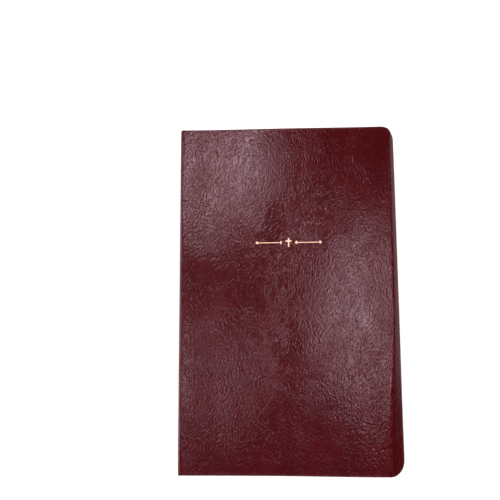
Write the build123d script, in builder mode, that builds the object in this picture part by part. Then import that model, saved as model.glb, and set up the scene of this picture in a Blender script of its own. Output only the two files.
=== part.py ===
from build123d import *
import os

os.makedirs("parts", exist_ok=True)

# A soft-cover bible lying closed on its back cover, head towards +Y.
# X runs from the spine (-X) to the fore-edge (+X), Z runs up through the covers.
# All sizes are in millimetres.

# Cover
cover_length = 222.0
cover_width = 140.0
cover_corner_radius = 9.0
skin_thickness = 0.8
skin_rim_width = 1.4
card_thickness = 0.5
pastedown_thickness = 0.15
lip_drop = 2.6

# Leaves and sections
fore_overhang = 5.0
head_overhang = 4.5
page_corner_radius = 7.0
sections_per_half = 9
section_thickness = 1.3
section_fold_radius = 0.55
middle_leaf_count = 5
middle_leaf_thickness = 0.12
flyleaf_thickness = 0.15

# Spine layers, from the outer face inwards, and the shoulder where skin turns onto a cover
inlay_thickness = 0.4
mull_thickness = 0.3
glue_thickness = 0.5
shoulder_radius = 1.6
shoulder_width = 1.8

# Bands at the head and tail of the spine
band_radius = 0.9
band_tape_length = 9.0

# Sewing: threads run across the backs of the sections
thread_width = 0.7
thread_depth = 0.3
thread_stations = 6

# Foil ornament stamped on the front cover
foil_thickness = 0.05
foil_centre_x = 1.0
foil_centre_y = 34.3
foil_width = 43.0
foil_height = 5.7
foil_cross_span = 3.8
foil_stroke = 0.9
foil_rule_gap = 3.2
foil_rule_width = 0.5
foil_lozenge = 2.4

# Clearances
hinge_offset = 0.2
hinge_gap = 0.1
leaf_air = 0.06
split_air = 0.1
fit_air = 0.1
leaf_start_gap = 1.6

# Heights and places that follow from the sizes above
cover_thickness = skin_thickness + card_thickness + pastedown_thickness
flyleaf_space = flyleaf_thickness + 2 * leaf_air
half_thickness = sections_per_half * section_thickness
middle_space = middle_leaf_count * (middle_leaf_thickness + leaf_air) + leaf_air
block_depth = cover_thickness + flyleaf_space
book_thickness = 2 * (block_depth + half_thickness) + middle_space
middle_height = book_thickness / 2

spine_x = -cover_width / 2
fore_edge_x = cover_width / 2
inlay_x = spine_x + skin_thickness
mull_x = inlay_x + inlay_thickness
glue_x = mull_x + mull_thickness
block_back_x = glue_x + glue_thickness
shoulder_end_x = spine_x + shoulder_width
cover_start_x = shoulder_end_x + hinge_gap
page_edge_x = fore_edge_x - fore_overhang
page_length = cover_length - 2 * head_overhang
leaf_start_x = block_back_x + leaf_start_gap

# Hinge lines, parallel to Y: (x, z) of the lower, middle and upper creases of the spine
hinge_x = spine_x - hinge_offset
lower_hinge = (hinge_x, -hinge_offset)
middle_hinge = (hinge_x, middle_height)
upper_hinge = (hinge_x, book_thickness + hinge_offset)

# Each half of the book is measured inwards from its own cover's outer face.
UPPER = 1
LOWER = -1


def height(side, depth):
    """Z of a point that lies this deep below the outer face of one cover."""
    return book_thickness - depth if side == UPPER else depth


def write(part, name):
    """Label one sub-part and write it to its STEP file."""
    part.label = name
    export_step(part, f"parts/{name}.step")


def rounded_leaf(start_x, end_x, length, radius):
    """Sketch a sheet with square corners at the spine and round ones at the fore-edge."""
    with BuildSketch(mode=Mode.PRIVATE) as outline:
        with Locations(((start_x + end_x) / 2, 0)):
            Rectangle(end_x - start_x, length)
        fillet(outline.vertices().group_by(Axis.X)[-1], radius)
    return outline.sketch


def sheet(start_x, end_x, length, radius, bottom, thickness):
    """A flat sheet of paper or card."""
    with BuildPart() as leaf:
        with BuildSketch(Plane.XY.offset(bottom)):
            add(rounded_leaf(start_x, end_x, length, radius))
        extrude(amount=thickness)
    return leaf.part


def cover_skin(side, lip):
    """Leather-look skin of one cover: a plate with a rim that wraps the card's edges."""
    rim_end_x = fore_edge_x - skin_rim_width
    rim_length = cover_length - 2 * skin_rim_width
    rim_radius = cover_corner_radius - skin_rim_width
    lip_length = cover_length - 2 * skin_thickness
    lip_radius = cover_corner_radius - skin_thickness
    lip_start_x = (page_edge_x + fore_edge_x) / 2
    with BuildPart() as skin:
        with BuildSketch(Plane.XY.offset(height(side, 0))):
            add(rounded_leaf(cover_start_x, fore_edge_x, cover_length, cover_corner_radius))
        extrude(amount=-side * cover_thickness)
        with BuildSketch(Plane.XY.offset(height(side, skin_thickness))):
            add(rounded_leaf(cover_start_x, rim_end_x, rim_length, rim_radius))
        extrude(amount=-side * (cover_thickness - skin_thickness), mode=Mode.SUBTRACT)
        if lip:
            with BuildSketch(Plane.XY.offset(height(side, cover_thickness))):
                add(rounded_leaf(cover_start_x, fore_edge_x, cover_length, cover_corner_radius))
                add(
                    rounded_leaf(cover_start_x, fore_edge_x - skin_thickness, lip_length, lip_radius),
                    mode=Mode.SUBTRACT,
                )
                with Locations(((lip_start_x + spine_x) / 2, 0)):
                    Rectangle(lip_start_x - spine_x, 2 * cover_length, mode=Mode.SUBTRACT)
            extrude(amount=-side * lip_drop)
    return skin.part


def cover_filling(side, depth, thickness):
    """Card or pastedown that fills the recess of a cover's skin."""
    end_x = fore_edge_x - skin_rim_width - fit_air
    length = cover_length - 2 * (skin_rim_width + fit_air)
    radius = cover_corner_radius - skin_rim_width - fit_air
    bottom = min(height(side, depth), height(side, depth + thickness))
    return sheet(cover_start_x, end_x, length, radius, bottom, thickness)


def spine_skin(side):
    """Half of the spine's skin, from the middle crease round the shoulder to the cover."""
    split = middle_height + side * split_air / 2
    outer = height(side, 0)
    inner = height(side, skin_thickness)
    with BuildPart() as skin:
        with BuildSketch(Plane.XZ) as profile:
            with BuildLine():
                Polyline(
                    (spine_x, split),
                    (spine_x, outer),
                    (shoulder_end_x, outer),
                    (shoulder_end_x, inner),
                    (inlay_x, inner),
                    (inlay_x, split),
                    close=True,
                )
            make_face()
            shoulder = profile.vertices().sort_by_distance(Vector(spine_x, outer))[0]
            fillet(shoulder, shoulder_radius)
            inside = profile.vertices().sort_by_distance(Vector(inlay_x, inner))[0]
            fillet(inside, shoulder_radius - skin_thickness)
        extrude(amount=cover_length / 2, both=True)
    return skin.part


def spine_layer(side, start_x, thickness, length):
    """Half of a flat layer behind the spine's skin."""
    split = middle_height + side * split_air / 2
    end = height(side, block_depth)
    with BuildPart() as layer:
        with BuildSketch(Plane.XZ):
            with Locations((start_x + thickness / 2, (split + end) / 2)):
                Rectangle(thickness, abs(end - split))
        extrude(amount=length / 2, both=True)
    return layer.part


def thread_places():
    """Y of each sewing station, evenly spread along the back."""
    pitch = page_length / thread_stations
    return [(index - (thread_stations - 1) / 2) * pitch for index in range(thread_stations)]


def sewing(side, slack):
    """Threads across the backs of the sections; the slack widens them into slots."""
    split = middle_height + side * middle_space / 2
    end = height(side, block_depth)
    with BuildPart() as threads:
        with BuildSketch(Plane.XY.offset(min(split, end))):
            for place in thread_places():
                with Locations((block_back_x - thread_depth / 2, place)):
                    Rectangle(thread_depth, thread_width + 2 * slack)
        extrude(amount=abs(end - split))
    return threads.part


def spine_glue(side):
    """Half of the glue on the backs of the sections, with slots for the threads."""
    with BuildPart() as glue:
        add(spine_layer(side, glue_x, glue_thickness, page_length))
        add(sewing(side, fit_air), mode=Mode.SUBTRACT)
    return glue.part


def end_band(side, end):
    """Half of a head or tail band: a round bead on a tape glued to the back."""
    split = middle_height + side * middle_space / 2
    outer = height(side, block_depth)
    bead_y = end * (page_length / 2 + band_radius)
    tape_y = end * (page_length / 2 + band_radius / 2 - band_tape_length / 2)
    with BuildPart() as band:
        with BuildSketch(Plane.XY.offset(min(split, outer))):
            with Locations((glue_x + band_radius, bead_y)):
                Circle(band_radius)
            with Locations((mull_x + mull_thickness / 2, tape_y)):
                Rectangle(mull_thickness, band_tape_length + band_radius)
            with Locations((glue_x, bead_y)):
                Rectangle(mull_thickness * 2, band_radius)
        extrude(amount=abs(outer - split))
    return band.part


def section(side, index):
    """One folded section: thin leaves with a round fold at the back."""
    lowest = block_depth + index * section_thickness
    bottom = min(height(side, lowest), height(side, lowest + section_thickness))
    with BuildPart() as leaves:
        with BuildSketch(Plane.XY.offset(bottom)):
            add(rounded_leaf(block_back_x, page_edge_x, page_length, page_corner_radius))
        extrude(amount=section_thickness)
        fold = leaves.faces().sort_by(Axis.X)[0].edges().filter_by(Axis.Y)
        fillet(fold, section_fold_radius)
    return leaves.part


# The two covers
for side, cover in ((LOWER, "back"), (UPPER, "front")):
    write(cover_skin(side, lip=side == UPPER), f"{cover}_cover_skin")
    write(cover_filling(side, skin_thickness, card_thickness), f"{cover}_cover_card")
    pastedown_depth = skin_thickness + card_thickness
    write(cover_filling(side, pastedown_depth, pastedown_thickness), f"{cover}_pastedown")
    flyleaf_depth = cover_thickness + leaf_air
    flyleaf_faces = (height(side, flyleaf_depth), height(side, flyleaf_depth + flyleaf_thickness))
    flyleaf = sheet(
        leaf_start_x,
        page_edge_x,
        page_length,
        page_corner_radius,
        min(flyleaf_faces),
        flyleaf_thickness,
    )
    write(flyleaf, f"{cover}_flyleaf")

# The two halves of the book block, with their share of the spine
for side, half in ((LOWER, "lower"), (UPPER, "upper")):
    mull_length = page_length - 2 * (band_tape_length + fit_air)
    write(spine_skin(side), f"{half}_spine_skin")
    write(spine_layer(side, inlay_x, inlay_thickness, page_length), f"{half}_spine_inlay")
    write(spine_layer(side, mull_x, mull_thickness, mull_length), f"{half}_spine_mull")
    write(spine_glue(side), f"{half}_spine_glue")
    write(sewing(side, 0), f"{half}_sewing_thread")
    write(end_band(side, 1), f"{half}_headband")
    write(end_band(side, -1), f"{half}_tailband")
    for index in range(sections_per_half):
        write(section(side, index), f"{half}_section_{index + 1:02d}")

# Loose leaves at the middle opening, numbered from the lower half upwards
for index in range(middle_leaf_count):
    pitch = middle_leaf_thickness + leaf_air
    bottom = middle_height - middle_space / 2 + leaf_air + index * pitch
    middle_leaf = sheet(
        leaf_start_x,
        page_edge_x,
        page_length,
        page_corner_radius,
        bottom,
        middle_leaf_thickness,
    )
    write(middle_leaf, f"middle_leaf_{index + 1}")

# Ornament on the front cover: a plain cross between two rules that end in lozenges
with BuildPart() as foil_ornament:
    with BuildSketch(Plane.XY.offset(book_thickness)):
        with Locations((foil_centre_x, foil_centre_y)):
            Rectangle(foil_stroke, foil_height)
        with Locations((foil_centre_x, foil_centre_y + foil_height / 6)):
            Rectangle(foil_cross_span, foil_stroke)
        for direction in (-1, 1):
            inner_x = foil_centre_x + direction * (foil_cross_span / 2 + foil_rule_gap)
            outer_x = foil_centre_x + direction * (foil_width / 2 - foil_lozenge / 2)
            with Locations(((inner_x + outer_x) / 2, foil_centre_y)):
                Rectangle(abs(outer_x - inner_x), foil_rule_width)
            with Locations((inner_x, foil_centre_y), (outer_x, foil_centre_y)):
                Rectangle(foil_lozenge / 2**0.5, foil_lozenge / 2**0.5, rotation=45)
    extrude(amount=foil_thickness)
write(foil_ornament.part, "foil_ornament")

print("book", cover_width, cover_length, book_thickness)
print("hinge lines", lower_hinge, middle_hinge, upper_hinge)
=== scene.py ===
import math
import random

import bpy
import numpy as np
from mathutils import Matrix, Vector


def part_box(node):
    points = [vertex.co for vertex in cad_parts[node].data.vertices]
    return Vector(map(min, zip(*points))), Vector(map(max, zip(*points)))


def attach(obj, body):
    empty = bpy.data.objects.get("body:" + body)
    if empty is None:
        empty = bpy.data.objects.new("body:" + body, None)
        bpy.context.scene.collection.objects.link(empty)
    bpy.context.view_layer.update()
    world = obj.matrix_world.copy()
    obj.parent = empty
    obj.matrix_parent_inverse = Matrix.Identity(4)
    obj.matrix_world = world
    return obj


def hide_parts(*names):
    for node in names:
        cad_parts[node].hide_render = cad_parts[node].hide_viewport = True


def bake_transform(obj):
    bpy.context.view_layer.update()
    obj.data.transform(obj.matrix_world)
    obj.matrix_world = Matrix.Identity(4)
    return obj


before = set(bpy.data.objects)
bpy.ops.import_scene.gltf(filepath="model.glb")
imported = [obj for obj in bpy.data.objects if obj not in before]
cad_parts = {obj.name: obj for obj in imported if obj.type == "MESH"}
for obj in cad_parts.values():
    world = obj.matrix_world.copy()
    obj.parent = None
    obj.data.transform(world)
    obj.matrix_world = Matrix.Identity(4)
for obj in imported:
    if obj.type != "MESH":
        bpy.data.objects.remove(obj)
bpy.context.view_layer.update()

# A closed soft-cover bible. Metres; x runs from spine to fore-edge, y from tail to head, z up.
MM = 0.001

# ---------------------------------------------------------------- sizes from the frame
_, cover_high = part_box("front_cover_skin")
spine_low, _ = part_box("upper_spine_skin")
section_low, section_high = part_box("lower_section_01")
back_low, back_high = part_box("back_cover_skin")
leaf_low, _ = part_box("front_flyleaf")
_, card_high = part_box("front_cover_card")
foil_low, foil_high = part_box("foil_ornament")

TOP = cover_high[2]
MIDDLE = TOP / 2
SPINE_X = spine_low[0]
FORE_X = cover_high[0] + 1.3 * MM  # the bent fore-edge reaches a little past the CAD cover
HALF_LENGTH = cover_high[1]
COVER_THICK = back_high[2] - back_low[2]
SKIN_THICK = TOP - card_high[2]
PAGE_START_X = section_low[0]
PAGE_END_X = section_high[0]
PAGE_HALF = section_high[1]
LEAF_START_X = leaf_low[0]

# ---------------------------------------------------------------- sizes chosen for the looks
CORNER = 9 * MM
PAGE_CORNER = 7 * MM
SHOULDER = 2.0 * MM
SHOULDER_X = SPINE_X + SHOULDER
STRIP_HALF = 4.5 * MM

WAVE_FADE = 25 * MM
COVER_SAG = 0.52 * MM
CARD_INSET = 1.6 * MM
CARD_THICK = 0.4 * MM
CARD_GAP = 0.05 * MM
LINING_INSET = 2.6 * MM
LINING_THICK = 0.11 * MM
LINING_SINK = 0.06 * MM
SHEET_START_GAP = 0.2 * MM

EDGE_WEAR = 2.6 * MM
# width of the pale band along the fore-edge ridge: partly rubbed wear, partly a painted highlight
RIDGE_WEAR_AND_SHEEN = 1.4 * MM
SHOULDER_WEAR = 1.6 * MM

SECTIONS_PER_HALF = 9
LEAF_STEPS_PER_HALF = 45
MIDDLE_LEAVES = 5

COVER_COLUMNS = 112
COVER_ROWS = 130
STRIP_COLUMNS = 25
STRIP_ROWS = 60
ARC_STEPS = 9
SPINE_STEPS = 9
TURN_STEPS = 8
TINY = 1e-9

random.seed(7)


# ---------------------------------------------------------------- shape functions
def smooth(value, low, high):
    """0 below low, 1 above high, and an even S between them."""
    t = np.clip((value - low) / (high - low), 0, 1)
    return t * t * (3 - 2 * t)


def undulation(x, y):
    """Gentle waves and sag of the limp front cover, in metres, fading to none at the spine."""
    wave = 0.34 * np.sin(x / (24 * MM) + y / (58 * MM) + 0.6)
    wave = wave + 0.30 * np.sin(y / (31 * MM) - x / (70 * MM) + 1.1)
    wave = wave + 0.16 * np.sin(x / (13 * MM) - y / (22 * MM))
    fade = smooth(x, SPINE_X, SPINE_X + WAVE_FADE)
    return wave * fade * MM - COVER_SAG * fade


def from_head(y):
    """Place along the fore-edge: 0 at the head, 1 at the tail."""
    return (HALF_LENGTH - y) / (2 * HALF_LENGTH)


def lip_width(y):
    """Width of the strip that bends down along the fore-edge: narrow at the head, wide at the tail."""
    t = from_head(y)
    return (4.0 + 0.6 * t + 4.8 * smooth(t, 0.52, 0.96)) * MM


def lip_drop(x, y):
    """How far the fore-edge strip has bent down, with a rounded ridge."""
    t = from_head(y)
    steep = 0.95 - 0.33 * smooth(t, 0.5, 1.0)
    bend = (0.8 + 1.6 * smooth(t, 0.6, 1.0)) * MM
    run = np.maximum(x - (FORE_X - lip_width(y)) + 0.5 * bend, 0)
    return steep * (np.sqrt(run * run + bend * bend) - bend)


def outline_end(y, end_x, half, radius):
    """X of a round-cornered outline at this Y."""
    over = np.clip(np.abs(y) - (half - radius), 0, radius)
    return end_x - radius + np.sqrt(np.maximum(radius * radius - over * over, 0))


def row_places(half, radius, rows):
    """Y of each row of a sheet: even along the straight part, closer round the corners."""
    arc = half - radius * (1 - np.sin(np.linspace(0, np.pi / 2, ARC_STEPS)))
    middle = np.linspace(-(half - radius), half - radius, rows)[1:-1]
    return np.concatenate([-arc[::-1], middle, arc])


def sheared_grid(start_x, end_x, half, radius, columns, rows):
    """Grid of a sheet whose last column follows round corners: arrays x, y of (rows, columns).

    The last tenth of its width is cut about three times as finely, for the bend near the fore-edge.
    """
    y_line = row_places(half, radius, rows)
    ends = outline_end(y_line, end_x, half, radius)
    dense = columns // 4
    wide = np.linspace(0, 0.9, columns - dense + 1)[:-1]
    t = np.concatenate([wide, np.linspace(0.9, 1, dense)])
    x = start_x + (ends[:, None] - start_x) * t[None, :]
    y = np.repeat(y_line[:, None], columns, axis=1)
    return x, y


# ---------------------------------------------------------------- mesh helpers
def make_object(name, points, faces, uv=None, wear_sheen_gilt=None, flat=False):
    """A mesh object with an optional UV layer and mask attribute, one value per point: worn edges and
    a painted ridge highlight on leather, gilt edges on pages.
    """
    mesh = bpy.data.meshes.new(name)
    mesh.from_pydata([tuple(p) for p in points], [], [tuple(f) for f in faces])
    mesh.validate()
    if uv is not None:
        layer = mesh.uv_layers.new(name="UVMap")
        index = np.empty(len(mesh.loops), int)
        mesh.loops.foreach_get("vertex_index", index)
        layer.data.foreach_set("uv", np.asarray(uv, float)[index].ravel())
    if wear_sheen_gilt is not None:
        attribute = mesh.attributes.new("wear_sheen_gilt", "FLOAT", "POINT")
        attribute.data.foreach_set("value", np.asarray(wear_sheen_gilt, np.float32))
    if not flat:
        mesh.shade_smooth()
    item = bpy.data.objects.new(name, mesh)
    bpy.context.scene.collection.objects.link(item)
    return item


def grid_faces(rows, columns, offset=0, flip=False):
    """Quads of a grid whose points run row by row."""
    faces = []
    for j in range(rows - 1):
        for i in range(columns - 1):
            a = offset + j * columns + i
            quad = (a, a + 1, a + columns + 1, a + columns)
            faces.append(quad[::-1] if flip else quad)
    return faces


def open_edge(rows, columns):
    """Point numbers along a grid's tail row, fore column and head row."""
    tail = list(range(columns))
    fore = [j * columns + columns - 1 for j in range(1, rows)]
    head = [(rows - 1) * columns + i for i in range(columns - 2, -1, -1)]
    return tail + fore + head


def boundary(rows, columns):
    """Point numbers all round a grid, anticlockwise."""
    back = [j * columns for j in range(rows - 2, 0, -1)]
    return open_edge(rows, columns) + back


def ring_faces(first, second, closed=True):
    """Quads between two lists of point numbers."""
    count = len(first)
    pairs = range(count) if closed else range(count - 1)
    return [(first[k], first[(k + 1) % count], second[(k + 1) % count], second[k]) for k in pairs]


def add_cap(points, uv, wear_sheen_gilt, faces, loop):
    """Closes a cut with its own points, so the face beside it keeps its smooth shading."""
    first = len(points)
    faces.append(tuple(range(first, first + len(loop))))
    return (np.concatenate([part, part[loop]]) for part in (points, uv, wear_sheen_gilt))


def turned(faces):
    """The same faces seen from the other side."""
    return [face[::-1] for face in faces]


def flat_sheet(x, y, low, high):
    """Points of the lower and the upper face of a flat sheet, and the UV of one face."""
    bottom = np.stack([x, y, np.full_like(x, low)], axis=-1).reshape(-1, 3)
    top = np.stack([x, y, np.full_like(x, high)], axis=-1).reshape(-1, 3)
    return bottom, top, np.stack([x, y], axis=-1).reshape(-1, 2)


def paint(item, material):
    """Gives a piece its material."""
    item.data.materials.clear()
    item.data.materials.append(material)


# ---------------------------------------------------------------- node helpers
class Nodes:
    """A new material, with short ways to add and link its shader nodes."""

    def __init__(self, name):
        self.material = bpy.data.materials.new(name)
        self.material.use_nodes = True
        self.tree = self.material.node_tree
        self.shader = self.tree.nodes["Principled BSDF"]

    def put(self, socket, value):
        """Links a socket to another, or sets its value."""
        if isinstance(value, bpy.types.NodeSocket):
            self.tree.links.new(value, socket)
        else:
            socket.default_value = value

    def add(self, kind, inputs=(), **settings):
        """A node with its settings and inputs."""
        node = self.tree.nodes.new(kind)
        for key, value in settings.items():
            setattr(node, key, value)
        for key, value in dict(inputs).items():
            self.put(node.inputs[key], value)
        return node

    def plug(self, name, value):
        """Sets or links an input of the surface shader."""
        self.put(self.shader.inputs[name], value)

    def math(self, operation, a, b=0.0, clamp=False):
        node = self.add("ShaderNodeMath", {0: a, 1: b}, operation=operation, use_clamp=clamp)
        return node.outputs[0]

    def vector(self, operation, inputs):
        return self.add("ShaderNodeVectorMath", inputs, operation=operation).outputs[0]

    def spread(self, value, low, high, new_low=0.0, new_high=1.0):
        """Stretches the range low..high to new_low..new_high and clamps it there."""
        inputs = {0: value, 1: low, 2: high, 3: new_low, 4: new_high}
        return self.add("ShaderNodeMapRange", inputs).outputs[0]

    def ramp(self, value, stops):
        """Colour ramp from a list of places and colours."""
        node = self.add("ShaderNodeValToRGB", {"Fac": value})
        elements = node.color_ramp.elements
        while len(elements) < len(stops):
            elements.new(0.5)
        for element, (place, color) in zip(elements, stops):
            element.position = place
            element.color = (*color, 1)
        return node.outputs["Color"]

    def mix(self, factor, a, b):
        """Colour a where factor is 0, colour b where it is 1."""
        node = self.add("ShaderNodeMix", {0: factor}, data_type="RGBA")
        for key, value in ((6, a), (7, b)):
            color = value if isinstance(value, bpy.types.NodeSocket) else (*value, 1)
            self.put(node.inputs[key], color)
        return node.outputs[2]

    def noise(self, vector, scale, detail=3.0, roughness=0.5):
        inputs = {"Vector": vector, "Scale": scale, "Detail": detail, "Roughness": roughness}
        return self.add("ShaderNodeTexNoise", inputs).outputs["Fac"]

    def drift(self, vector, scale, reach):
        """A noise vector that moves a place by up to half of reach each way."""
        inputs = {"Vector": vector, "Scale": scale, "Detail": 2.0}
        shift = self.add("ShaderNodeTexNoise", inputs).outputs["Color"]
        shift = self.vector("ADD", {0: shift, 1: (-0.5, -0.5, -0.5)})
        return self.vector("SCALE", {0: shift, "Scale": reach})

    def attribute(self, name):
        return self.add("ShaderNodeAttribute", attribute_name=name).outputs["Fac"]

    def uv(self, scale=(1, 1, 1)):
        source = self.add("ShaderNodeUVMap", uv_map="UVMap").outputs[0]
        return self.add("ShaderNodeMapping", {"Vector": source, "Scale": scale}).outputs[0]

    def place(self, scale=(1, 1, 1)):
        source = self.add("ShaderNodeTexCoord").outputs["Object"]
        return self.add("ShaderNodeMapping", {"Vector": source, "Scale": scale}).outputs[0]

    def bump(self, height, distance, strength):
        inputs = {"Height": height, "Distance": distance, "Strength": strength}
        return self.add("ShaderNodeBump", inputs).outputs[0]


# ---------------------------------------------------------------- materials
GRAIN_LEAN = 0.28  # radians
GRAIN_STRETCH = (1.0, 0.46, 1.0)
PEBBLE_SCALE = 1200.0
CREASE_SCALE = 1250.0
GRAIN_DEPTH = 0.145 * MM
LEATHER_DARK = (0.050, 0.0016, 0.0026)
LEATHER_RED = (0.067, 0.0023, 0.0035)
# painted shade for the low creases of the grain
LEATHER_CREASE_SHADE = (0.026, 0.0014, 0.0022)
# pale mauve of rubbed leather, tinted so that along the fore-edge ridge it also serves as a painted
# highlight
LEATHER_WORN_AND_SHEEN = (0.19, 0.055, 0.065)
LEATHER_GLOSS_TINT = (1.0, 0.78, 0.84, 1.0)

ROW_PITCH = 3.1 * MM
INNER_MARGIN = 15 * MM
FORE_MARGIN = 11 * MM
TAIL_MARGIN = 14 * MM
HEAD_MARGIN = 16 * MM
GUTTER_HALF = 2.2 * MM
RULE_HALF = 0.12 * MM
INK = (0.06, 0.055, 0.05)
WEAVE_SCALE = 420.0


def leather_material():
    """Burgundy imitation leather: stretched pebble grain, satin gloss, worn edges, a painted highlight
    along the fore-edge ridge and painted shade in the grain's creases.
    """
    n = Nodes("burgundy_leather")
    base = n.uv()
    moved = n.vector("ADD", {0: base, 1: n.drift(base, 34.0, 0.016)})
    moved = n.vector("ADD", {0: moved, 1: n.drift(base, 230.0, 0.0012)})
    lean = n.add("ShaderNodeMapping", {"Vector": moved, "Rotation": (0, 0, GRAIN_LEAN)}).outputs[0]
    grain = n.add("ShaderNodeMapping", {"Vector": lean, "Scale": GRAIN_STRETCH}).outputs[0]
    pebble = n.add(
        "ShaderNodeTexVoronoi",
        {"Vector": grain, "Scale": PEBBLE_SCALE, "Randomness": 1.0},
        feature="SMOOTH_F1",
    ).outputs["Distance"]
    pebble = n.math("SUBTRACT", 1.0, pebble)
    crease = n.noise(grain, CREASE_SCALE, 2.0)
    fine = n.noise(grain, 2600.0, 2.0)
    zone = n.noise(n.uv((1.0, 0.7, 1.0)), 20.0, 2.0)
    depth = n.spread(zone, 0.38, 0.62, 0.7, 1.0)
    height = n.math("ADD", n.math("MULTIPLY", pebble, 0.75), n.math("MULTIPLY", crease, 0.8))
    height = n.math("ADD", height, n.math("MULTIPLY", fine, 0.10))
    height = n.math("MULTIPLY", height, depth)
    n.plug("Normal", n.bump(height, GRAIN_DEPTH, 1.0))

    # mask of rubbed wear on edges and shoulder, which along the fore-edge ridge is also a painted
    # highlight
    rub_and_sheen_noise = n.noise(base, 310.0, 4.0, 0.65)
    rubbed_and_sheen = n.math("MULTIPLY", n.attribute("wear_sheen_gilt"), n.spread(rub_and_sheen_noise, 0.42, 0.66))
    mottle = n.noise(base, 38.0, 4.0, 0.6)
    red = n.ramp(mottle, [(0.3, LEATHER_DARK), (0.72, LEATHER_RED)])
    # darker colour where the crease noise is low: painted shade in the grain's creases
    red = n.mix(n.spread(crease, 0.5, 0.3, 0.0, 0.35), red, LEATHER_CREASE_SHADE)
    # pale mauve mixed in by the mask: worn edges, and a painted highlight on the ridge
    red = n.mix(n.math("MULTIPLY", rubbed_and_sheen, 0.42), red, LEATHER_WORN_AND_SHEEN)
    n.plug("Base Color", red)
    rough = n.spread(crease, 0.3, 0.7, 0.21, 0.14)
    n.plug("Roughness", n.math("ADD", rough, n.math("MULTIPLY", rubbed_and_sheen, 0.1)))
    n.plug("Specular IOR Level", 0.34)
    n.plug("Specular Tint", LEATHER_GLOSS_TINT)
    return n.material


def foil_material():
    """Hot-stamped gold foil, slightly broken by the grain below it."""
    n = Nodes("gold_foil")
    grain = n.noise(n.place((1, 0.6, 1)), 900.0)
    thin = n.noise(n.place(), 2600.0, 2.0)
    n.plug("Base Color", n.ramp(thin, [(0.32, (0.80, 0.46, 0.30)), (0.62, (0.96, 0.64, 0.45))]))
    n.plug("Metallic", 0.85)
    n.plug("Roughness", n.spread(grain, 0.3, 0.7, 0.3, 0.5))
    n.plug("Normal", n.bump(grain, 0.08 * MM, 0.7))
    return n.material


def gilt_edge_material():
    """Gilt where the mask attribute is 1, on trimmed edges, and paper where it is 0."""
    n = Nodes("gilt_page_edges")
    gilded = n.attribute("wear_sheen_gilt")
    lines = n.noise(n.place((2.0, 2.0, 1000.0)), 9.0, 6.0, 0.8)
    stain = n.noise(n.place(), 55.0, 4.0, 0.6)
    stops = [(0.28, (0.42, 0.25, 0.085)), (0.52, (0.80, 0.55, 0.22)), (0.78, (0.95, 0.74, 0.38))]
    gold = n.ramp(lines, stops)
    gold = n.mix(n.math("MULTIPLY", stain, 0.25), gold, (0.55, 0.33, 0.13))
    paper = n.ramp(stain, [(0.3, (0.80, 0.74, 0.60)), (0.7, (0.86, 0.81, 0.69))])
    n.plug("Base Color", n.mix(gilded, paper, gold))
    n.plug("Metallic", n.math("MULTIPLY", gilded, 0.82))
    n.plug("Roughness", n.spread(lines, 0.2, 0.8, 0.34, 0.52))
    n.plug("Normal", n.bump(lines, 0.06 * MM, 0.8))
    return n.material


def page_material():
    """Thin bible paper with two columns of grey bars that only suggest lines of print."""
    n = Nodes("printed_page")
    place = n.uv()
    x, y, _ = n.add("ShaderNodeSeparateXYZ", {0: place}).outputs

    def both(a, b):
        return n.math("MULTIPLY", a, b)

    def between(value, low, high):
        return both(n.math("GREATER_THAN", value, low), n.math("LESS_THAN", value, high))

    def streaks(x_value, y_value, detail):
        spot = n.add("ShaderNodeCombineXYZ", {0: x_value, 1: y_value, 2: 0.0}).outputs[0]
        return n.noise(spot, 1.0, detail)

    row = n.math("DIVIDE", y, ROW_PITCH)
    in_row = between(n.math("FRACT", row), 0.34, 0.72)
    words = streaks(both(x, 330.0), both(n.math("FLOOR", row), 7.31), 1.0)
    words = n.math("GREATER_THAN", words, 0.43)
    strokes = n.spread(streaks(both(x, 2600.0), both(y, 900.0), 2.0), 0.35, 0.6)

    left = PAGE_START_X + INNER_MARGIN
    right = PAGE_END_X - FORE_MARGIN
    gutter = (left + right) / 2
    left_column = between(x, left, gutter - GUTTER_HALF)
    columns = n.math("MAXIMUM", left_column, between(x, gutter + GUTTER_HALF, right))
    tall = between(y, -PAGE_HALF + TAIL_MARGIN, PAGE_HALF - HEAD_MARGIN)
    rule = both(between(x, gutter - RULE_HALF, gutter + RULE_HALF), tall)
    ink = both(both(in_row, words), both(columns, tall))
    ink = both(ink, n.math("ADD", 0.45, both(strokes, 0.4)))
    ink = n.math("MAXIMUM", ink, both(rule, 0.5), clamp=True)

    cloud = n.noise(place, 70.0, 4.0, 0.6)
    paper = n.ramp(cloud, [(0.3, (0.83, 0.78, 0.66)), (0.7, (0.88, 0.84, 0.73))])
    n.plug("Base Color", n.mix(ink, paper, INK))
    n.plug("Roughness", n.spread(cloud, 0.0, 1.0, 0.62, 0.72))
    n.plug("Normal", n.bump(n.noise(place, 1500.0, 2.0), 0.03 * MM, 0.6))
    return n.material


def endpaper_material():
    """Thicker cream endpaper with a faint fibre."""
    n = Nodes("cream_endpaper")
    fibre = n.noise(n.uv((1.0, 3.0, 1.0)), 900.0, 4.0, 0.7)
    cloud = n.noise(n.uv(), 45.0, 4.0, 0.6)
    color = n.ramp(cloud, [(0.2, (0.78, 0.71, 0.57)), (0.8, (0.82, 0.76, 0.63))])
    color = n.mix(n.math("MULTIPLY", fibre, 0.12), color, (0.60, 0.52, 0.40))
    n.plug("Base Color", color)
    n.plug("Roughness", n.spread(fibre, 0.0, 1.0, 0.6, 0.75))
    n.plug("Normal", n.bump(fibre, 0.05 * MM, 0.7))
    return n.material


def thread_material(name, dark, light):
    """Twisted silk thread of an end band."""
    n = Nodes(name)
    fibre = n.noise(n.place((1.0, 1.0, 5.0)), 2400.0, 3.0, 0.6)
    n.plug("Base Color", n.ramp(fibre, [(0.3, dark), (0.7, light)]))
    n.plug("Roughness", n.spread(fibre, 0.0, 1.0, 0.4, 0.65))
    n.plug("Normal", n.bump(fibre, 0.08 * MM, 0.8))
    n.plug("Sheen Weight", 0.3)
    return n.material


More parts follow.
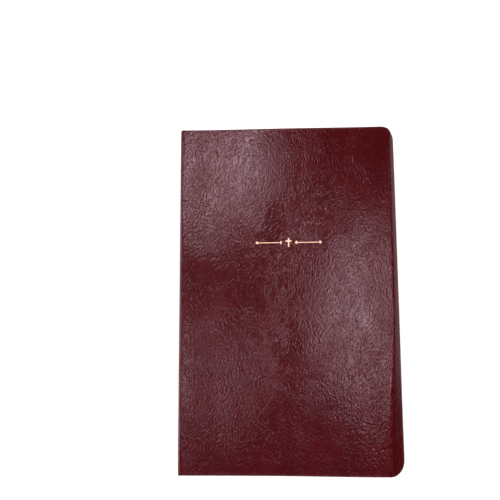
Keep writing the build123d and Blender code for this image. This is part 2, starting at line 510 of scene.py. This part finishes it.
def plain_material(name, dark, light, scale, rough, weave=False):
    """Hidden binding materials: glue, lining cloth, spine paper, card, thread."""
    n = Nodes(name)
    value = n.noise(n.place(), scale, 4.0, 0.6)
    color = n.ramp(value, [(0.3, dark), (0.7, light)])
    height = value
    if weave:
        inputs = {"Vector": n.place(), "Scale": WEAVE_SCALE}
        along = n.add("ShaderNodeTexWave", inputs, bands_direction="Y").outputs["Fac"]
        across = n.add("ShaderNodeTexWave", inputs, bands_direction="Z").outputs["Fac"]
        height = n.math("MULTIPLY", along, across)
        color = n.mix(height, dark, light)
    n.plug("Base Color", color)
    n.plug("Roughness", n.spread(value, 0.0, 1.0, rough - 0.08, rough + 0.08))
    n.plug("Normal", n.bump(height, 0.1 * MM, 0.6))
    return n.material


def floor_material():
    """Plain pale floor with a little light of its own, for the photo's white ground."""
    n = Nodes("pale_floor")
    cloud = n.noise(n.place(), 3.0)
    n.plug("Base Color", n.ramp(cloud, [(0.3, (0.86, 0.86, 0.86)), (0.7, (0.89, 0.89, 0.885))]))
    n.plug("Roughness", 0.7)
    n.plug("Emission Color", (1.0, 1.0, 1.0, 1.0))
    n.plug("Emission Strength", 0.38)
    return n.material


leather = leather_material()
foil = foil_material()
gilt = gilt_edge_material()
printed = page_material()
endpaper = endpaper_material()
band_gold = thread_material("gold_thread", (0.50, 0.32, 0.10), (0.80, 0.60, 0.28))
band_red = thread_material("burgundy_thread", (0.10, 0.008, 0.012), (0.22, 0.02, 0.03))
glue_mat = plain_material("spine_glue", (0.74, 0.70, 0.56), (0.84, 0.81, 0.68), 300.0, 0.4)
mull_mat = plain_material(
    "lining_cloth", (0.52, 0.49, 0.42), (0.86, 0.83, 0.76), 300.0, 0.8, weave=True
)
inlay_mat = plain_material("spine_paper", (0.42, 0.36, 0.27), (0.56, 0.49, 0.38), 500.0, 0.85)
card_mat = plain_material("cover_card", (0.42, 0.38, 0.30), (0.56, 0.51, 0.42), 400.0, 0.9)
sewing_mat = plain_material("sewing_thread", (0.80, 0.78, 0.72), (0.92, 0.90, 0.86), 2000.0, 0.7)


# ---------------------------------------------------------------- leather cover pieces
def cover_level(x, y, side):
    """Height of the outer face of the front cover (side 1) or the back cover (side -1)."""
    if side > 0:
        return TOP + undulation(x, y) - lip_drop(x, y)
    return np.zeros_like(x)


def cover_surface(x, y, side):
    """Points on a cover's outer face, and the outward normals there."""
    step = 0.2 * MM
    z = cover_level(x, y, side)
    dx = (cover_level(x + step, y, side) - cover_level(x - step, y, side)) / (2 * step)
    dy = (cover_level(x, y + step, side) - cover_level(x, y - step, side)) / (2 * step)
    normal = np.stack([-dx, -dy, np.ones_like(x)], axis=-1)
    normal /= np.linalg.norm(normal, axis=-1, keepdims=True)
    if side < 0:
        normal[..., 2] *= -1
    return np.stack([x, y, z], axis=-1), normal


def outer_height(side):
    """Height of a cover's outer face before waves and bends."""
    return TOP if side > 0 else 0.0


def spine_profile(side):
    """The spine's share and the shoulder, a column each: point (x, z), normal (x, z), distance run.

    Also gives the distance run at the end of the shoulder.
    """
    strip_z = MIDDLE + side * STRIP_HALF
    shoulder_z = TOP - SHOULDER if side > 0 else SHOULDER
    profile = []
    for z in np.linspace(strip_z, shoulder_z, SPINE_STEPS):
        profile.append(((SPINE_X, z), (-1.0, 0.0), abs(z - MIDDLE)))
    arc_start = abs(shoulder_z - MIDDLE)
    for turn in np.linspace(0, np.pi / 2, TURN_STEPS)[1:-1]:
        point = (
            SPINE_X + SHOULDER - SHOULDER * math.cos(turn),
            outer_height(side) - side * (SHOULDER - SHOULDER * math.sin(turn)),
        )
        normal = (-math.cos(turn), side * math.sin(turn))
        profile.append((point, normal, arc_start + SHOULDER * turn))
    return profile, arc_start + SHOULDER * np.pi / 2


def leather_outside(side, roll):
    """Outer face of a cover's leather with its share of the spine: points, normals, distance run."""
    half = HALF_LENGTH - roll
    x_grid, y_grid = sheared_grid(
        SHOULDER_X, FORE_X - roll, half, CORNER - roll, COVER_COLUMNS, COVER_ROWS
    )
    flat_points, flat_normals = cover_surface(x_grid, y_grid, side)
    profile, corner_run = spine_profile(side)
    y_line = y_grid[:, 0]
    rows = len(y_line)
    lead = len(profile)
    columns = lead + x_grid.shape[1]
    points = np.zeros((rows, columns, 3))
    normals = np.zeros((rows, columns, 3))
    across = np.zeros((rows, columns))
    for i, ((px, pz), (nx, nz), run) in enumerate(profile):
        points[:, i] = np.stack([np.full(rows, px), y_line, np.full(rows, pz)], axis=-1)
        normals[:, i] = (nx, 0.0, nz)
        across[:, i] = run
    points[:, lead:] = flat_points
    normals[:, lead:] = flat_normals
    across[:, lead:] = corner_run + (x_grid - SHOULDER_X)
    return points, normals, across


def leather_wear_and_sheen(points, side):
    """How worn the leather is, most along its edges and the shoulder; along the fore-edge ridge the
    same mask is partly wear and partly a painted highlight.
    """
    x, y, z = points[..., 0], points[..., 1], points[..., 2]
    edge_distance = np.minimum(HALF_LENGTH - np.abs(y), FORE_X - x)
    wear_sheen_gilt = 1 - smooth(edge_distance, 0, EDGE_WEAR)
    if side > 0:
        # along the fore-edge ridge: partly rubbed wear, partly a painted highlight
        ridge = np.abs(x - (FORE_X - lip_width(y)))
        wear_sheen_gilt = np.maximum(wear_sheen_gilt, 0.8 * (1 - smooth(ridge, 0, RIDGE_WEAR_AND_SHEEN)))
    shoulder = 0.35 * (1 - smooth(np.abs(x - SPINE_X - 0.5 * MM), 0, SHOULDER_WEAR))
    return np.maximum(wear_sheen_gilt, shoulder * (np.abs(z - outer_height(side)) < SHOULDER))


def edge_directions(places, normals, roll):
    """Which way the rolled edge bulges at each place, square to the surface there."""
    centre_x = FORE_X - CORNER
    centre_y = HALF_LENGTH - CORNER
    outward = np.zeros((len(places), 3))
    for k, ((px, py, _), normal) in enumerate(zip(places, normals)):
        if px > centre_x and abs(py) > centre_y:
            direction = np.array([px - centre_x, math.copysign(abs(py) - centre_y, py), 0.0])
        elif abs(abs(py) - (HALF_LENGTH - roll)) < TINY:
            direction = np.array([0.0, math.copysign(1.0, py), 0.0])
        else:
            direction = np.array([1.0, 0.0, 0.0])
        direction = direction - normal * direction.dot(normal)
        outward[k] = direction / np.linalg.norm(direction)
    return outward


def leather_cover(name, side):
    """Leather of one cover with its share of the spine, from the middle strip round the shoulder."""
    roll = COVER_THICK / 2
    points, normals, across = leather_outside(side, roll)
    rows, columns = across.shape
    count = rows * columns

    # skin alone at the spine, skin with card and lining on the cover
    thicker = smooth(points[..., 0], SHOULDER_X, SHOULDER_X + 1.5 * MM)
    thick = SKIN_THICK + (COVER_THICK - SKIN_THICK) * thicker
    inner = points - normals * thick[..., None]
    wear_sheen_gilt = leather_wear_and_sheen(points, side).ravel()
    uv = np.stack([side * across, points[..., 1]], axis=-1).reshape(-1, 2)
    flat = points.reshape(-1, 3)
    all_points = [flat, inner.reshape(-1, 3)]
    all_uv = [uv, uv]
    all_wear_sheen_gilt = [wear_sheen_gilt, wear_sheen_gilt * 0.3]
    faces = grid_faces(rows, columns) + grid_faces(rows, columns, count, flip=True)

    # rolled edge round tail, fore-edge and head
    path = open_edge(rows, columns)
    path_points = flat[path]
    path_normals = normals.reshape(-1, 3)[path]
    radius = thick.ravel()[path][:, None] / 2
    outward = edge_directions(path_points, path_normals, roll)
    previous = path
    total = 2 * count
    tail_end, head_end = [], []
    for turn in np.linspace(0, np.pi, TURN_STEPS)[1:-1]:
        inward = path_normals * radius * (1 - math.cos(turn))
        all_points.append(path_points + outward * roll * math.sin(turn) - inward)
        all_uv.append(uv[path] + outward[:, :2] * roll * turn)
        all_wear_sheen_gilt.append(np.full(len(path), 0.4 * math.sin(turn)))
        numbers = list(range(total, total + len(path)))
        faces += ring_faces(numbers, previous, closed=False)
        previous = numbers
        total += len(path)
        tail_end.append(numbers[0])
        head_end.append(numbers[-1])
    faces += ring_faces([count + p for p in path], previous, closed=False)

    cut = [j * columns for j in range(rows)]
    loop = cut + head_end + [count + c for c in reversed(cut)] + tail_end[::-1]
    points, uv, wear_sheen_gilt = (np.concatenate(part) for part in (all_points, all_uv, all_wear_sheen_gilt))
    points, uv, wear_sheen_gilt = add_cap(points, uv, wear_sheen_gilt, faces, loop)
    return make_object(name, points, turned(faces) if side < 0 else faces, uv, wear_sheen_gilt)


def leather_strip(name):
    """Middle of the spine's leather, which folds where the book opens."""
    roll = SKIN_THICK / 2
    end = COVER_THICK / 2
    y_line = row_places(HALF_LENGTH - end, CORNER - end, STRIP_ROWS)
    z_line = np.linspace(MIDDLE - STRIP_HALF, MIDDLE + STRIP_HALF, STRIP_COLUMNS)
    rows, columns = len(y_line), len(z_line)
    count = rows * columns
    y, z = np.meshgrid(y_line, z_line, indexing="ij")
    outer = np.stack([np.full_like(y, SPINE_X), y, z], axis=-1).reshape(-1, 3)
    inner = outer + np.array([SKIN_THICK, 0, 0])
    uv = np.stack([z - MIDDLE, y], axis=-1).reshape(-1, 2)
    wear_sheen_gilt = np.zeros(count)
    all_points = [outer, inner]
    all_uv = [uv, uv]
    all_wear_sheen_gilt = [wear_sheen_gilt, wear_sheen_gilt]
    faces = grid_faces(rows, columns, flip=True) + grid_faces(rows, columns, count)

    # rolled ends at the tail and the head
    total = 2 * count
    ends = {}
    for j, sign in ((0, -1), (rows - 1, 1)):
        path = [j * columns + i for i in range(columns)]
        previous = path
        ends[sign] = []
        for turn in np.linspace(0, np.pi, TURN_STEPS)[1:-1]:
            bulge = [roll * (1 - math.cos(turn)), sign * end * math.sin(turn), 0]
            all_points.append(outer[path] + np.array(bulge))
            all_uv.append(uv[path] + np.array([0, sign * end * turn]))
            all_wear_sheen_gilt.append(np.full(columns, 0.4 * math.sin(turn)))
            numbers = list(range(total, total + columns))
            order = (previous, numbers) if sign < 0 else (numbers, previous)
            faces += ring_faces(*order, closed=False)
            ends[sign].append(numbers)
            previous = numbers
            total += columns
        last = (previous, [count + p for p in path])
        faces += ring_faces(*(last if sign < 0 else last[::-1]), closed=False)

    points, uv, wear_sheen_gilt = (np.concatenate(part) for part in (all_points, all_uv, all_wear_sheen_gilt))
    for i in (0, columns - 1):
        cut = [j * columns + i for j in range(rows)]
        head_end = [numbers[i] for numbers in ends[1]]
        tail_end = [numbers[i] for numbers in ends[-1]]
        loop = cut + head_end + [count + c for c in reversed(cut)] + tail_end[::-1]
        points, uv, wear_sheen_gilt = add_cap(points, uv, wear_sheen_gilt, faces, loop if i else loop[::-1])
    return make_object(name, points, faces, uv, wear_sheen_gilt)


def cover_sheet(name, side, inset, depth, thickness):
    """Card or pastedown that follows the inside of a cover."""
    start = SHOULDER_X + SHEET_START_GAP
    columns, rows = 40, 48
    x, y = sheared_grid(start, FORE_X - inset, HALF_LENGTH - inset, CORNER - inset, columns, rows)
    outer, normal = cover_surface(x, y, side)
    near = (outer - normal * depth).reshape(-1, 3)
    far = (outer - normal * (depth + thickness)).reshape(-1, 3)
    count = len(near)
    uv = np.stack([x, y], axis=-1).reshape(-1, 2)
    rim = boundary(*x.shape)
    faces = grid_faces(*x.shape) + grid_faces(*x.shape, count, flip=True)
    faces += ring_faces([count + r for r in rim], rim)
    if side < 0:
        faces = turned(faces)
    return make_object(name, np.concatenate([near, far]), faces, np.concatenate([uv, uv]))


front_leather = leather_cover("front_cover_leather", 1)
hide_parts("front_cover_skin", "upper_spine_skin")
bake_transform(front_leather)
back_leather = leather_cover("back_cover_leather", -1)
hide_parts("back_cover_skin", "lower_spine_skin")
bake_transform(back_leather)
strip = leather_strip("spine_middle_leather")
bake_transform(strip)
for piece in (front_leather, back_leather, strip):
    paint(piece, leather)

for side, cover in ((1, "front"), (-1, "back")):
    card = cover_sheet(
        f"{cover}_card_core", side, CARD_INSET, SKIN_THICK + CARD_GAP, CARD_THICK
    )
    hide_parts(f"{cover}_cover_card")
    paint(card, card_mat)
    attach(card, f"{cover}_cover")
    lining = cover_sheet(
        f"{cover}_pastedown_paper", side, LINING_INSET, COVER_THICK - LINING_SINK, LINING_THICK
    )
    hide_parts(f"{cover}_pastedown")
    paint(lining, endpaper)
    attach(lining, f"{cover}_cover")


# ---------------------------------------------------------------- pages
def settle(points):
    """Lets the pages near the top follow the front cover's waves and bent edge."""
    share = np.clip(points[..., 2] / TOP, 0, 1) ** 3
    moved = points.copy()
    drop = lip_drop(points[..., 0], points[..., 1])
    moved[..., 2] += share * (undulation(points[..., 0], points[..., 1]) - drop)
    return moved


def trimmed(ring_x, ring_y, grow):
    """A leaf's outline grown a hair at its trimmed edges and not at the spine."""
    share = (ring_x - PAGE_START_X) / (PAGE_END_X - PAGE_START_X)
    out_x = np.where(ring_x > PAGE_START_X + TINY, grow * share, 0)
    near_end = np.abs(ring_y) > PAGE_HALF - PAGE_CORNER
    out_y = np.sign(ring_y) * np.where(near_end, grow, 0)
    return ring_x + out_x, ring_y + out_y


def page_stack(name, low, high):
    """Half of the book block: a stack of leaf steps whose trimmed edges differ a hair."""
    x, y = sheared_grid(PAGE_START_X, PAGE_END_X, PAGE_HALF, PAGE_CORNER, 30, 44)
    rim = boundary(*x.shape)
    count = x.size
    ring_x = x.ravel()[rim]
    ring_y = y.ravel()[rim]
    bottom, top, uv = flat_sheet(x, y, low, high)
    all_points = [bottom, top]
    all_uv = [uv, uv]
    all_wear_sheen_gilt = [np.zeros(count), np.zeros(count)]
    faces = grid_faces(*x.shape, flip=True) + grid_faces(*x.shape, count)
    total = 2 * count
    previous = rim
    levels = np.linspace(low, high, LEAF_STEPS_PER_HALF + 1)
    per_section = LEAF_STEPS_PER_HALF // SECTIONS_PER_HALF
    for k in range(LEAF_STEPS_PER_HALF):
        between_sections = 0.07 if k % per_section == 0 else 0.0
        trim = random.uniform(-0.03, 0.03) - between_sections
        edge_x, edge_y = trimmed(ring_x, ring_y, trim * MM)
        for z in (levels[k], levels[k + 1]):
            all_points.append(np.stack([edge_x, edge_y, np.full(len(rim), z)], axis=-1))
            all_uv.append(np.stack([ring_x, ring_y], axis=-1))
            all_wear_sheen_gilt.append(np.ones(len(rim)))
            numbers = list(range(total, total + len(rim)))
            faces += ring_faces(previous, numbers)
            previous = numbers
            total += len(rim)
    faces += ring_faces(previous, [count + r for r in rim])
    points = settle(np.concatenate(all_points))
    uv, wear_sheen_gilt = np.concatenate(all_uv), np.concatenate(all_wear_sheen_gilt)
    return make_object(name, points, faces, uv, wear_sheen_gilt, flat=True)


def loose_sheet(name, low, high, material):
    """A single thin leaf with a gilt rim."""
    x, y = sheared_grid(LEAF_START_X, PAGE_END_X, PAGE_HALF, PAGE_CORNER, 40, 40)
    rim = boundary(*x.shape)
    count = x.size
    bottom, top, uv = flat_sheet(x, y, low, high)
    faces = grid_faces(*x.shape, flip=True) + grid_faces(*x.shape, count)
    flat_faces = len(faces)
    faces += ring_faces(rim, [count + r for r in rim])
    points = settle(np.concatenate([bottom, top]))
    sheet = make_object(name, points, faces, np.concatenate([uv, uv]), np.ones(2 * count))
    paint(sheet, material)
    sheet.data.materials.append(gilt)
    for face in sheet.data.polygons[flat_faces:]:
        face.material_index = 1
    return sheet


def print_flat_faces(stack):
    """Puts the printed page on a stack's top and bottom, and leaves gilt on its edges."""
    stack.data.materials.append(printed)
    for face in stack.data.polygons:
        if abs(face.normal.z) > 0.9 and face.area > 4 * MM * MM:
            face.material_index = 1


for half in ("lower", "upper"):
    nodes = [f"{half}_section_{number:02d}" for number in range(1, SECTIONS_PER_HALF + 1)]
    stack_low = min(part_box(node)[0][2] for node in nodes)
    stack_high = max(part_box(node)[1][2] for node in nodes)
    stack = page_stack(f"{half}_pages", stack_low, stack_high)
    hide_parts(*nodes)
    paint(stack, gilt)
    print_flat_faces(stack)
    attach(stack, f"{half}_block")

for cover, parent in (("front", "upper_block"), ("back", "back_cover")):
    low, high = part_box(f"{cover}_flyleaf")
    fly = loose_sheet(f"{cover}_flyleaf_paper", low[2], high[2], endpaper)
    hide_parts(f"{cover}_flyleaf")
    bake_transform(fly)

for number in range(1, MIDDLE_LEAVES + 1):
    low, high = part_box(f"middle_leaf_{number}")
    leaf = loose_sheet(f"middle_page_{number}", low[2], high[2], printed)
    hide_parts(f"middle_leaf_{number}")
    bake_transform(leaf)


# ---------------------------------------------------------------- end bands
def end_band(name, node, end):
    """Half of a head or tail band: silk wraps in two colours round a core."""
    low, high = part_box(node)
    radius = 0.9 * MM
    centre_x = high[0] - radius
    centre_y = high[1] - radius if end > 0 else low[1] + radius
    wraps, around, along = 12, 14, 6
    pitch = (high[2] - low[2]) / wraps
    points, faces, slots = [], [], []
    for wrap in range(wraps):
        start = len(points)
        for j in range(along + 1):
            t = j / along
            swell = radius * (0.80 + 0.20 * math.sin(math.pi * t))
            for i in range(around):
                angle = 2 * math.pi * i / around
                lean = 0.25 * pitch * math.sin(angle)
                points.append((
                    centre_x + swell * math.cos(angle),
                    centre_y + swell * math.sin(angle),
                    low[2] + pitch * (wrap + t) + lean * math.sin(math.pi * t),
                ))
        rings = [[start + j * around + i for i in range(around)] for j in range(along + 1)]
        wrap_faces = []
        for lower, upper in zip(rings, rings[1:]):
            wrap_faces += ring_faces(lower, upper)
        wrap_faces += [tuple(rings[0][::-1]), tuple(rings[-1])]
        faces += wrap_faces
        slots += [wrap % 2] * len(wrap_faces)
    band = make_object(name, points, faces)
    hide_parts(node)
    paint(band, band_gold)
    band.data.materials.append(band_red)
    for face, slot in zip(band.data.polygons, slots):
        face.material_index = slot
    return band


for half in ("lower", "upper"):
    for place, end in (("head", 1), ("tail", -1)):
        band = end_band(f"{half}_{place}_band", f"{half}_{place}band", end)
        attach(band, f"{half}_block")


# ---------------------------------------------------------------- foil ornament
FOIL_STROKE = 0.45 * MM
FOIL_ARM = 1.9 * MM
FOIL_RULE_HALF = 0.25 * MM
FOIL_RULE_START = 5.1 * MM
FOIL_LOZENGE = 1.2 * MM
FOIL_OVERLAP = 1.0 * MM
FOIL_HEIGHT = 0.035 * MM
FOIL_THICK = 0.03 * MM


def foil_patch(points, faces, corners):
    """Adds a four-cornered piece of foil, cut finely enough to follow the cover."""
    (x0, y0), (x1, y1), (x2, y2), (x3, y3) = corners
    steps = 24 if max(abs(x1 - x0), abs(x2 - x1), abs(y2 - y1)) > 3 * MM else 6
    start = len(points)
    for j in range(5):
        for i in range(steps + 1):
            s, t = i / steps, j / 4
            px = (1 - s) * ((1 - t) * x0 + t * x3) + s * ((1 - t) * x1 + t * x2)
            py = (1 - s) * ((1 - t) * y0 + t * y3) + s * ((1 - t) * y1 + t * y2)
            surface, normal = cover_surface(np.array([px]), np.array([py]), 1)
            points.append(tuple(surface[0] + normal[0] * FOIL_HEIGHT))
    faces.extend(grid_faces(5, steps + 1, start))


def ornament():
    """Plain cross between two rules with lozenge ends, laid on the waves of the cover."""
    centre_x = (foil_low[0] + foil_high[0]) / 2
    centre_y = (foil_low[1] + foil_high[1]) / 2
    half_width = (foil_high[0] - foil_low[0]) / 2
    half_height = (foil_high[1] - foil_low[1]) / 2
    points, faces = [], []

    def bar(x0, x1, y0, y1):
        foil_patch(points, faces, ((x0, y0), (x1, y0), (x1, y1), (x0, y1)))

    arm_y = centre_y + half_height / 3
    bar(
        centre_x - FOIL_STROKE, centre_x + FOIL_STROKE,
        centre_y - half_height, centre_y + half_height,
    )
    for sign in (-1, 1):
        arm = sorted((centre_x + sign * FOIL_STROKE, centre_x + sign * FOIL_ARM))
        bar(arm[0], arm[1], arm_y - FOIL_STROKE, arm_y + FOIL_STROKE)
        inner = centre_x + sign * FOIL_RULE_START
        outer = centre_x + sign * (half_width - FOIL_LOZENGE)
        rule = sorted((inner + sign * FOIL_OVERLAP, outer - sign * FOIL_OVERLAP))
        bar(rule[0], rule[1], centre_y - FOIL_RULE_HALF, centre_y + FOIL_RULE_HALF)
        for px in (inner, outer):
            west = (px - FOIL_LOZENGE, centre_y)
            south = (px, centre_y - FOIL_LOZENGE)
            east = (px + FOIL_LOZENGE, centre_y)
            north = (px, centre_y + FOIL_LOZENGE)
            foil_patch(points, faces, (west, south, east, north))
    item = make_object("foil_cross_and_rules", points, faces)
    solid = item.modifiers.new("thickness", "SOLIDIFY")
    solid.thickness = FOIL_THICK
    solid.offset = -1
    return item


foil_piece = ornament()
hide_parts("foil_ornament")
paint(foil_piece, foil)
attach(foil_piece, "front_cover")

# ---------------------------------------------------------------- carried CAD nodes
for half in ("lower", "upper"):
    for node, material in (
        ("spine_inlay", inlay_mat),
        ("spine_mull", mull_mat),
        ("spine_glue", glue_mat),
        ("sewing_thread", sewing_mat),
    ):
        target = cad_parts[f"{half}_{node}"]
        target.data.materials.clear()
        target.data.materials.append(material)

# ---------------------------------------------------------------- floor, light, camera
FLOOR_SIZE = 120  # wide enough to reach the horizon in low views
WINDOW_COLOR = (1.0, 0.92, 0.98)
TAIL_WINDOW_COLOR = (0.4, 0.5, 1.0)
SUN_SPREAD = 50  # degrees
SUN_SLOPE = 62  # degrees from straight down


def pale_floor():
    """A wide floor that the book lies on."""
    bpy.ops.mesh.primitive_plane_add(size=FLOOR_SIZE, location=(0, 0, 0))
    floor = bpy.context.object
    floor.name = "studio_floor"
    floor.data.materials.append(floor_material())


def studio_world():
    """Pale at the horizon and dark above, so the glossy cover stays dark; plain white behind it."""
    world = bpy.data.worlds.new("studio")
    bpy.context.scene.world = world
    world.use_nodes = True
    nodes = world.node_tree.nodes
    links = world.node_tree.links
    place = nodes.new("ShaderNodeTexCoord")
    split = nodes.new("ShaderNodeSeparateXYZ")
    ramp = nodes.new("ShaderNodeValToRGB")
    links.new(place.outputs["Generated"], split.inputs[0])
    links.new(split.outputs["Z"], ramp.inputs["Fac"])
    links.new(ramp.outputs["Color"], nodes["Background"].inputs["Color"])
    horizon, zenith = ramp.color_ramp.elements
    horizon.position = 0.02
    horizon.color = (0.92, 0.92, 0.93, 1)
    zenith.position = 0.34
    zenith.color = (0.010, 0.005, 0.012, 1)
    ramp.color_ramp.elements.new(0.09).color = (0.16, 0.16, 0.17, 1)
    backdrop = nodes.new("ShaderNodeBackground")
    backdrop.inputs["Color"].default_value = (0.97, 0.97, 0.97, 1)
    seen = nodes.new("ShaderNodeLightPath")
    choose = nodes.new("ShaderNodeMixShader")
    links.new(seen.outputs["Is Camera Ray"], choose.inputs[0])
    links.new(nodes["Background"].outputs[0], choose.inputs[1])
    links.new(backdrop.outputs[0], choose.inputs[2])
    links.new(choose.outputs[0], nodes["World Output"].inputs["Surface"])


def soft_light(name, place, target, axis, size, power, color=WINDOW_COLOR):
    """A soft light panel that faces a point.

    Axis is the heading of its long side in degrees, and size its width and length.
    """
    light = bpy.data.lights.new(name, "AREA")
    light.shape = "RECTANGLE"
    light.size, light.size_y = size
    light.energy = power
    light.color = color
    item = bpy.data.objects.new(name, light)
    back = (Vector(place) - Vector(target)).normalized()
    heading = Vector((math.cos(math.radians(axis)), math.sin(math.radians(axis)), 0))
    along = (heading - back * heading.dot(back)).normalized()
    facing = Matrix((along.cross(back), along, back)).transposed().to_4x4()
    item.matrix_world = Matrix.Translation(place) @ facing
    bpy.context.scene.collection.objects.link(item)


def broad_sun(name, heading, power):
    """A wide soft light from far off, low enough to stay out of the cover's gloss from above."""
    light = bpy.data.lights.new(name, "SUN")
    light.energy = power
    light.angle = math.radians(SUN_SPREAD)
    item = bpy.data.objects.new(name, light)
    item.rotation_euler = (math.radians(SUN_SLOPE), 0, math.radians(heading + 90))
    bpy.context.scene.collection.objects.link(item)


def studio_lights():
    """Small windows for the pale sheens on the cover, and low suns that light floor and pages."""
    soft_light(
        "window_head", (-0.140, 0.276, 0.80), (-0.048, 0.078, 0.028), 50, (0.05, 0.26), 1.12
    )
    soft_light(
        "window_right", (0.168, -0.005, 0.80), (0.051, -0.010, 0.028), 84, (0.08, 0.36), 1.26
    )
    soft_light(
        "window_left", (-0.20, -0.12, 0.80), (-0.066, -0.045, 0.028), 90, (0.045, 0.22), 0.50
    )
    soft_light(
        "window_tail", (0.04, -0.26, 0.80), (0.009, -0.088, 0.028), 0, (0.24, 0.44), 0.04,
        TAIL_WINDOW_COLOR,
    )
    broad_sun("sun_left", 180, 2.0)
    broad_sun("sun_head", 75, 1.8)
    broad_sun("sun_tail", 285, 1.5)


def photo_camera():
    """A camera above the book that looks almost straight down, as in the photograph."""
    data = bpy.data.cameras.new("camera")
    data.sensor_width = 36.0
    data.lens = 40.62
    camera = bpy.data.objects.new("camera", data)
    bpy.context.scene.collection.objects.link(camera)
    bpy.context.scene.camera = camera
    tilt, lean, turn = math.radians(7.0), math.radians(-3.11), math.radians(-0.68)
    forward = Vector((0, math.sin(tilt), -math.cos(tilt)))
    upward = Vector((0, math.cos(tilt), math.sin(tilt)))
    sideways = Vector((1, 0, 0))
    forward, sideways = (
        math.cos(lean) * forward + math.sin(lean) * sideways,
        -math.sin(lean) * forward + math.cos(lean) * sideways,
    )
    axes = Matrix((sideways, upward, -forward)).transposed().to_4x4()
    spin = Matrix.Rotation(turn, 4, "Z")
    camera.matrix_world = Matrix.Translation((-0.0047, -0.0149, 0.3893)) @ spin @ axes


pale_floor()
studio_world()
studio_lights()
photo_camera()
bpy.context.scene.view_settings.view_transform = "Standard"
